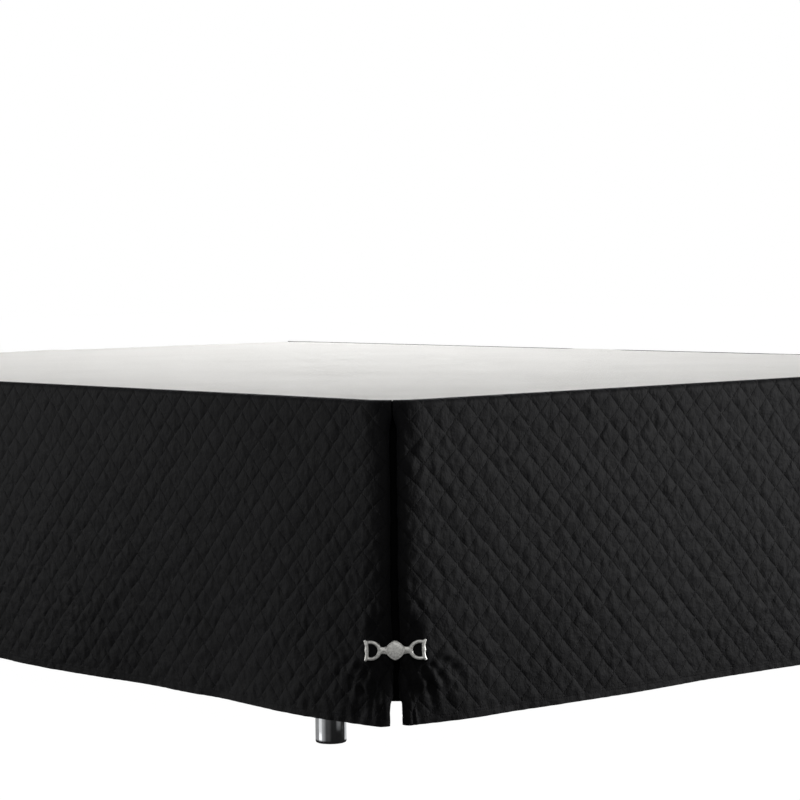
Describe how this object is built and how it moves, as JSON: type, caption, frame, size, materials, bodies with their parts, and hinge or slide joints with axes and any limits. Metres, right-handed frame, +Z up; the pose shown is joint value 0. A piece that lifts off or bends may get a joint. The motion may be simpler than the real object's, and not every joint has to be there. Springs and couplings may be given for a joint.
{
  "type": "bed skirt on a box bed base",
  "caption": "Black diamond-quilted bed skirt hung round a box bed base, split at the foot corners with a metal clasp across each slit; it hides the legs and the space below.",
  "frame": {"origin": "middle of the footprint at floor level", "axes": "+Z up; +Y along the bed towards the open head end, so the foot drop faces -Y; +X across the bed"},
  "size_m": [1.4148, 1.9032, 0.452],
  "materials": {
    "quilted_cloth": "matt black microfibre, diamond quilted",
    "underlay_cloth": "matt black plain cloth",
    "platform_cloth": "matt off-white plain cloth",
    "base_cover": "matt upholstery cloth",
    "clasp_metal": "satin nickel plated casting",
    "leg_chrome": "polished"
  },
  "bodies": {
    "root": {"skirt_deck": "platform_cloth", "drop_foot": "quilted_cloth", "drop_side_left": "quilted_cloth", "drop_side_right": "quilted_cloth", "corner_flap_left": "underlay_cloth", "corner_flap_right": "underlay_cloth", "clasp_left": "clasp_metal", "clasp_right": "clasp_metal", "bed_base": "base_cover", "leg_foot_left": "leg_chrome", "leg_foot_right": "leg_chrome", "leg_head_left": "leg_chrome", "leg_head_right": "leg_chrome"}
  },
  "joints": []
}
